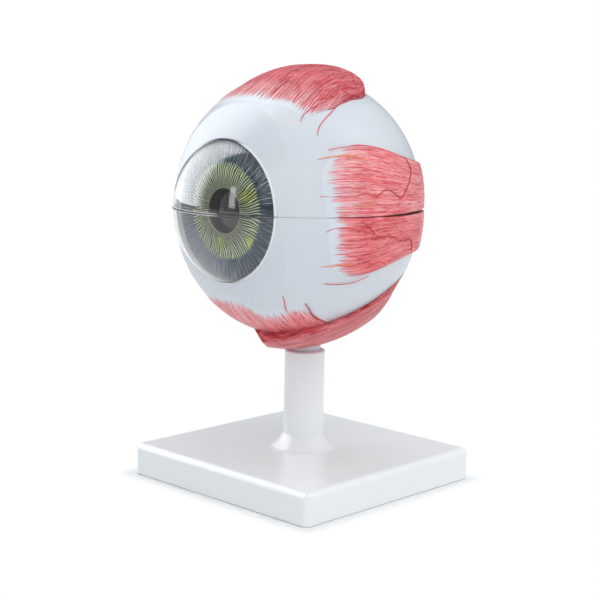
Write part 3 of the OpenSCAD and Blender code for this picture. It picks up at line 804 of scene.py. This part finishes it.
def cornea(s):
    """The dome on the shell's front ring, a lip at its foot and the wall thinner there."""
    across = 129
    foot, inner_a, inner_apex = RIM_F + 0.04, DOME_A - 0.2, APEX - 2.2
    inner_b = (inner_apex - foot) / (1 - math.sqrt(1 - (BORE_R / inner_a) ** 2))
    outer = dome(DOME_A, DOME_B, DOME_F0, CENTRE_R, LIP_R, 76)
    inner = dome(inner_a, inner_b, inner_apex - inner_b, BORE_R, CENTRE_R, 56)
    pts, faces = half_lathe(outer + [(LIP_R, foot)] + inner, s, across, DOME_GAP)
    half, body = HALF[s], BODY[s]
    o = add_piece(half + "_cornea_dome", pts, faces, body, M_CORNEA,
                  (half + "_cornea",), sharp=40)
    # the collar faces carry painted shade on the nose side
    o.data.materials.append(M_COLLAR_SHADED)
    polys = o.data.polygons
    strip = across - 1
    collar = range((len(outer) - 3) * strip, (len(outer) + 2) * strip)
    for q in (*collar, len(polys) - 2, len(polys) - 1):
        polys[q].material_index = 1
    # the cut edge along the seam, just under the clear face, with a painted highlight on the nose
    # side and painted shade on the temple side
    x = np.linspace(-LIP_R + 0.1, LIP_R - 0.1, 161)
    near, far, high, low = DOME_GAP + 0.02, DOME_GAP + 0.55, 0.04, 0.3
    rows = []
    for z, down in ((near, high), (far, high), (far, low), (near, low)):
        r = np.minimum(np.hypot(x, z), LIP_R)
        f = DOME_F0 + DOME_B * np.sqrt(1 - (r / DOME_A) ** 2) - down
        rows.append(np.stack([x, -f, np.full_like(x, s * z)], -1))
    n = len(x)
    faces = loop_faces(4, n)
    faces += [tuple(i * n for i in range(4)), tuple(i * n + n - 1 for i in range(4))]
    add_piece(half + "_seam_edge", rows, faces, body, M_SEAM_EDGE_LIT_SHADED)


def iris(s):
    """Radial folds in two zones on a shallow cone, closed behind."""
    nr, na = 84, 900  # rows along the radius and round the gaze
    deep, fine, sink = 0.62, 0.30, 0.35  # folds of both zones, and how far they lie lower
    turn = np.linspace(0.0, math.pi, na)
    K, A = np.meshgrid(np.linspace(0, 1, nr), turn, indexing="ij")
    r = PUPIL_R + (IRIS_R - PUPIL_R) * K
    gap = np.arcsin(SEAM / r)
    ang = gap + (math.pi - 2 * gap) * A / math.pi
    sa = s * ang
    # wavy folds, deeper in the inner zone and finer outside
    wav = 0.03 * np.sin(8 * K + 3 * rnd(sa * 5, 0, 5)) + 0.02 * rnd(sa * 9, K * 4, 31)
    fold_in = 0.5 + 0.5 * np.sin((sa + wav) * 94 + 2.6 * rnd(sa * 17, K * 2.6, 8))
    fold_out = 0.5 + 0.5 * np.sin((sa + 0.5 * wav) * 150 + 2.6 * rnd(sa * 28, K * 2.0, 12))
    drift = 0.06 * (rnd(sa * 9, 0, 3) - 0.5) + 0.05 * (rnd(sa * 2.1, 0, 6) - 0.5)
    zone = step(K + drift, 0.51, 0.585)
    ridge = fold_in * (1 - zone) + fold_out * zone
    ridge = ridge * 0.78 + 0.22 * rnd(sa * 90, K * 6, 20)
    depth = deep * (1 - zone) * step(K, 0.0, 0.12) + fine * zone * (1 - step(K, 0.94, 1.0))
    f = IRIS_EDGE + IRIS_RISE * (1 - K) ** 1.25 - sink + depth * ridge
    f = f - sink * (1 - step(K, 0.0, 0.05))
    pts = np.stack([r * np.cos(ang), -f, s * r * np.sin(ang)], -1)
    faces = grid_faces(nr, na, flip=(s < 0)).tolist()
    # rear rows close the piece: skirt, back face, pupil's wall
    heel, skirt, wall = CHOROID_F + 0.05, 3.6, 1.3
    rows = [(IRIS_R, heel), (IRIS_R - skirt, heel), (IRIS_R - skirt, IRIS_EDGE - wall),
            (PUPIL_R, IRIS_EDGE + IRIS_RISE - wall)]
    back = []
    for rr, ff in rows:
        g = math.asin(SEAM / rr)
        an = g + (math.pi - 2 * g) * turn / math.pi
        back.append(np.stack([rr * np.cos(an), np.full(na, -ff), s * rr * np.sin(an)], -1))
    verts = np.concatenate([pts.reshape(-1, 3), *back])
    order = [(nr - 1) * na] + [(nr + i) * na for i in range(4)] + [0]
    for p, q in zip(order[:-1], order[1:]):
        for j in range(na - 1):
            quad = (p + j, q + j, q + j + 1, p + j + 1)
            faces.append(quad[::-1] if s < 0 else quad)
    for j in (0, na - 1):  # seam faces
        faces.append(tuple(i * na + j for i in range(nr + 4)))
    rear = np.stack([np.full(na, 2.0), s * turn, np.full(na, 0.3)], -1)
    pol = np.concatenate([np.stack([K, sa, ridge], -1).reshape(-1, 3), *[rear] * 4])
    add_piece(HALF[s] + "_iris_relief", verts, faces, HALF[s] + "_choroid_half",
              M_IRIS, (HALF[s] + "_iris",), {"pol": pol}, sharp=50)


for s in (1, -1):
    cornea(s)
    iris(s)


def seam_lip():
    """Raised lip on the lower shell that closes the view into the seam, painted dark under the
    muscles as the seam's shade."""
    n = 240
    a0 = math.asin((RIM_F - 0.8) / (SIDE - 0.5))
    inner, outer, low, high = SIDE - 0.65, SIDE - 0.30, -0.30, 0.10
    ring = [(inner, low), (outer, low), (outer, high), (inner, high)]
    pts = [[(r * math.cos(a), r * math.sin(a), z) for r, z in ring]
           for a in np.linspace(-a0, math.pi + a0, n)]
    faces = [(i * 4 + j, (i + 1) * 4 + j, (i + 1) * 4 + (j + 1) % 4, i * 4 + (j + 1) % 4)
             for i in range(n - 1) for j in range(4)]
    faces += [(0, 1, 2, 3), tuple((n - 1) * 4 + j for j in (3, 2, 1, 0))]
    o = add_piece("seam_lip", pts, faces, "stand", M_SCLERA, sharp=40)
    # painted shade: the band of faces under the muscles takes the dark gap colour
    o.data.materials.append(M_GAP_SHADE)
    for q in o.data.polygons:
        if -0.029 < q.center[1] - EYE[1] * MM < 0.040:
            q.material_index = 1


seam_lip()


# ---------------------------------------------------------------- painted threads in relief
def tube(name, pts, rad, s, material):
    """A thin thread through points of the eye frame, finer at both ends."""
    c = spline(pts)
    tan = np.gradient(c, axis=0)
    tan /= np.linalg.norm(tan, axis=1, keepdims=True)
    up = c / np.linalg.norm(c, axis=1, keepdims=True)
    sd = np.cross(tan, up)
    sd /= np.linalg.norm(sd, axis=1, keepdims=True)
    up = np.cross(sd, tan)
    n, k = len(c), 8  # points along and round it
    i = np.arange(n)
    ends = np.exp(-i / (0.12 * n)) + np.exp(-(n - 1 - i) / (0.12 * n))
    rr = (rad * (1 - 0.42 * ends))[:, None, None]
    ang = (np.arange(k) * 2 * math.pi / k)[None, :, None]
    v = c[:, None] + rr * (np.cos(ang) * sd[:, None] + np.sin(ang) * up[:, None])
    faces = [(i * k + j, i * k + (j + 1) % k, (i + 1) * k + (j + 1) % k, (i + 1) * k + j)
             for i in range(n - 1) for j in range(k)]
    faces += [tuple(range(k))[::-1], tuple((n - 1) * k + j for j in range(k))]
    add_piece(name, v, faces, BODY[s], material)


def side_thread(name, rad, material, pts):
    """A thread on the lateral sheet, and on the ball ahead of the sheet's front."""
    s = 1 if pts[0][1] > 0 else -1
    y, z = np.array(pts, float).T
    front = -29.6 if s > 0 else -28.6
    on = step(y, front - 1.5, front + 0.5)
    x = side_top(y, z, s, 1) * on + over_ball(y, z, s, "x", 0) * (1 - on)
    x = np.minimum(x + rad * 0.35, CAD_SIDE - rad)
    tube("thread_" + name, np.stack([x, y, z], -1), rad, s, material)


def plan_thread(name, rad, material, pts, s=1, on_ball=()):
    """A thread on the superior or inferior sheet; on_ball lists the points off the sheet."""
    x, y = np.array(pts, float).T
    z = superior_top(x, y) if s > 0 else inferior_top(x, y)
    for i in on_ball:
        z[i] = over_ball(x, y, s, "z", 0)[i]
    tube("thread_" + name, np.stack([x, y, z + s * rad * 0.4], -1), rad, s, material)


side_thread("side_a", 0.19, M_THREAD, [(-29.7, 30.9), (-24.6, 32), (-18.7, 32.7), (-12.8, 33.1)])
side_thread("side_b", 0.24, M_THREAD_O, [
    (-34.9, 26.4), (-32, 27.3), (-28.9, 28), (-25, 28.4), (-20.8, 28.4), (-16.6, 27.3),
    (-13.2, 26)])
side_thread("side_c", 0.22, M_THREAD, [
    (-36.2, 10), (-32.7, 9.8), (-28.5, 9.8), (-24.9, 9.9), (-21.6, 10.1), (-18.6, 10.9),
    (-15.9, 11.3), (-13.7, 10.6), (-11.5, 9.8), (-9.8, 8.8)])
side_thread("side_d", 0.22, M_THREAD_O, [
    (-10.1, 8.9), (-11.9, 7.5), (-13.6, 6.2), (-15.2, 5.6), (-18.9, 5.5), (-22.9, 6)])
side_thread("side_e", 0.24, M_VESSEL, [
    (12.5, 27.2), (14.9, 25.2), (16.9, 21.1), (14.8, 17), (12.1, 13.9), (7.9, 9.4),
    (5.3, 8.2), (2.2, 9.7), (-1.3, 11.8), (-5, 12.4), (-8.7, 10.7), (-10.6, 8.9)])
side_thread("side_m", 0.21, M_THREAD, [
    (-29.5, -31.6), (-26, -31.9), (-21.9, -31.9), (-17.2, -31.4), (-13.5, -30.1),
    (-9.6, -28.6)])
side_thread("side_f", 0.16, M_THREAD, [
    (-28.4, 13.9), (-25.2, 14.3), (-21.6, 13.3), (-16.4, 13.7)])
side_thread("side_g", 0.22, M_THREAD, [
    (-33.7, -6.6), (-31.5, -5.2), (-29.6, -4.8), (-27, -4.8), (-21.3, -5.5), (-15.6, -6.8),
    (-11.5, -8.2), (-7.1, -9.4)])
side_thread("side_h", 0.21, M_VESSEL, [(-16.7, -3), (-13.9, -5.4), (-11.5, -7.4)])
side_thread("side_i", 0.22, M_VESSEL, [
    (5.2, -11.9), (9.8, -12.7), (15.1, -12.3), (18.2, -14.6), (19.7, -18.7)])
side_thread("side_j", 0.21, M_THREAD, [
    (-24.8, -17.6), (-21.9, -18), (-18.2, -18.9), (-14.5, -20.5), (-10.6, -22.3),
    (-5.2, -21.6), (-0.6, -23.7)])
side_thread("side_k", 0.22, M_THREAD_O, [
    (-33.2, -23), (-29.6, -22.8), (-25.8, -22.5), (-22.5, -22.5), (-19.6, -22.4)])
side_thread("side_l", 0.21, M_VESSEL, [(-13.7, -10.6), (-8.5, -9.9), (-2, -9.4), (4.3, -11.3)])
plan_thread("top_a", 0.22, M_THREAD, [
    (32.9, -33.8), (32.5, -31.7), (32.5, -29.1), (32.8, -26.1), (33.6, -22.8),
    (33.3, -15.1)], on_ball=(0,))
plan_thread("top_b", 0.28, M_THREAD, [
    (41.2, -30.8), (40.2, -29.2), (39.6, -27), (39.2, -23.3), (38.7, -18.7), (37.6, -13.4),
    (37.2, -7.8), (36.0, 0.9), (32.8, 10), (30, 15.4)], on_ball=range(10))
plan_thread("top_c", 0.22, M_THREAD, [
    (31.9, -24.2), (31.4, -22), (31.6, -19.4), (32.9, -16), (34.3, -12), (33.7, -9.3),
    (32.9, -6.3), (34.5, -5.2), (36.2, -4.6)])
plan_thread("top_d", 0.26, M_VESSEL, [(23.8, 11.5), (27.8, 8.4), (31.3, 6.1)])
plan_thread("top_e", 0.26, M_VESSEL, [(24.4, -30.4), (23.5, -26.7), (22.1, -21.9)])
plan_thread("low_a", 0.3, M_VESSEL, [
    (36.9, -32.1), (36.5, -29.1), (35.2, -24.7), (34.2, -19.8)], -1)
plan_thread("low_b", 0.24, M_THREAD, [
    (30.4, -40.8), (30.2, -39.4), (28.6, -36.8), (28.2, -34.9)], -1, on_ball=(0, 1))


# ---------------------------------------------------------------- floor
def floor_material():
    """Diffuse, and plain white to the camera, gloss and clear parts away from the base."""
    m, t, b = new_material("floor_white")
    x, y, _ = split(t, node(t, "NewGeometry").outputs["Position"])

    def beyond(v):
        past = math_node(t, "SUBTRACT", math_node(t, "ABSOLUTE", v), BASE_HALF * MM)
        past = math_node(t, "MAXIMUM", past, 0.0)
        return mul(t, past, past)

    away = math_node(t, "SQRT", math_node(t, "ADD", beyond(x), beyond(y)))
    rays = node(t, "LightPath").outputs
    seen = math_node(t, "MAXIMUM", rays["Is Glossy Ray"], rays["Is Transmission Ray"])
    seen = math_node(t, "MAXIMUM", rays["Is Camera Ray"], seen)
    white = mul(t, seen, map_range(t, away, 0.0, 0.010))
    diffuse = node(t, "BsdfDiffuse", Color=(0.86, 0.87, 0.88, 1))
    glow = node(t, "Emission", Color=(1, 1, 1, 1))
    shader = mix_shader(t, white, diffuse.outputs[0], glow.outputs[0])
    link(t, shader, t.nodes["Material Output"].inputs["Surface"])
    t.nodes.remove(b)
    return m


FLOOR_HALF, FLOOR_Z = 6, -0.0003  # metres
me = bpy.data.meshes.new("floor")
me.from_pydata([(x * FLOOR_HALF, y * FLOOR_HALF, FLOOR_Z)
                for x, y in ((-1, -1), (1, -1), (1, 1), (-1, 1))], [], [(0, 1, 2, 3)])
me.materials.append(floor_material())
floor = bpy.data.objects.new("floor", me)
bpy.context.scene.collection.objects.link(floor)


# ---------------------------------------------------------------- light
def studio():
    """White to the camera, a soft sky for the paint, soft boxes that only gloss sees."""
    world = bpy.data.worlds.new("studio")
    bpy.context.scene.world = world
    world.use_nodes = True
    t = world.node_tree
    t.nodes.remove(t.nodes["Background"])
    x, y, z = split(t, coords(t, "Generated"))
    bear = math_node(t, "ARCTAN2", y, mul(t, x, -1.0))
    height = math_node(t, "ARCSINE", z)

    def rises(value, at, soft):
        """Smooth step over soft degrees either side of at; falls where soft is negative."""
        return map_range(t, value, math.radians(at - soft), math.radians(at + soft))

    def soft_box(az0, az1, el0, el1, soft, soft_el, power, soft_top=2.0):
        """A box between two bearings from -X and two heights, degrees."""
        p = mul(t, rises(bear, az0, soft), rises(bear, az1, -soft))
        p = mul(t, p, rises(height, el0, soft_el))
        return mul(t, mul(t, p, rises(height, el1, -soft_top)), power)

    def background(color, strength):
        n = node(t, "Background", Color=(*color, 1))
        feed(t, [n.inputs["Strength"]], [strength])
        return n.outputs[0]

    front = soft_box(-47, 16, -1.5, 80, soft=9, soft_el=0.8, power=7.6, soft_top=12.0)
    strip = soft_box(-97, -88, 3, 27, soft=1.5, soft_el=2.0, power=7.0)
    back = soft_box(120, 170, 25, 60, soft=8, soft_el=8, power=2.0, soft_top=8.0)
    glow = mul(t, front, rises(bear, 5, -35))
    for more in (strip, back, 0.16):
        glow = math_node(t, "ADD", glow, more)
    rays = node(t, "LightPath").outputs
    shader = background((0.93, 0.965, 1.0), 0.56)
    shader = mix_shader(t, rays["Is Glossy Ray"], shader, background((0.95, 0.97, 1.0), glow))
    shader = mix_shader(t, rays["Is Transmission Ray"], shader,
                        background((0.97, 0.985, 1.0), 0.70))
    shader = mix_shader(t, rays["Is Camera Ray"], shader, background((1, 1, 1), 1.0))
    link(t, shader, t.nodes["World Output"].inputs["Surface"])


def area(name, loc, target, size, power, col=(1, 1, 1)):
    """A square lamp that gloss does not mirror."""
    d = bpy.data.lights.new(name, "AREA")
    d.energy = power
    d.color = col
    d.size = size
    o = bpy.data.objects.new(name, d)
    o.location = loc
    o.rotation_mode = "QUATERNION"
    o.rotation_quaternion = (Vector(target) - Vector(loc)).to_track_quat("-Z", "Y")
    o.visible_glossy = False
    bpy.context.scene.collection.objects.link(o)


studio()
area("right", (1.1, -0.5, 1.0), (0, 0, 0.13), size=1.2, power=4.8, col=(1.0, 0.99, 0.98))
area("top", (0.1, 0.2, 1.4), (0, 0, 0.1), size=2.4, power=15.0)
area("left", (-1.1, 0.1, 0.9), (0, 0, 0.08), size=1.0, power=1.6)

# ---------------------------------------------------------------- camera
CAMERA_AT = (0.49512, -0.52433, 0.21073)
YAW, PITCH, ROLL = 0.761, 0.163, 0.022
scene = bpy.context.scene
cam_d = bpy.data.cameras.new("camera")
cam_d.sensor_width = 36.0
cam_d.lens = 85.98
cam_d.clip_start = 0.01
cam = bpy.data.objects.new("camera", cam_d)
scene.collection.objects.link(cam)
gaze = Vector((-math.sin(YAW) * math.cos(PITCH), math.cos(YAW) * math.cos(PITCH),
               -math.sin(PITCH)))
level = gaze.cross(Vector((0, 0, 1))).normalized()
above = level.cross(gaze)
right = level * math.cos(ROLL) + above * math.sin(ROLL)
up = -level * math.sin(ROLL) + above * math.cos(ROLL)
axes = [(*axis, 0) for axis in (right, up, -gaze)]
cam.matrix_world = Matrix([*axes, (*CAMERA_AT, 1)]).transposed()
scene.camera = cam
scene.view_settings.view_transform = "Standard"
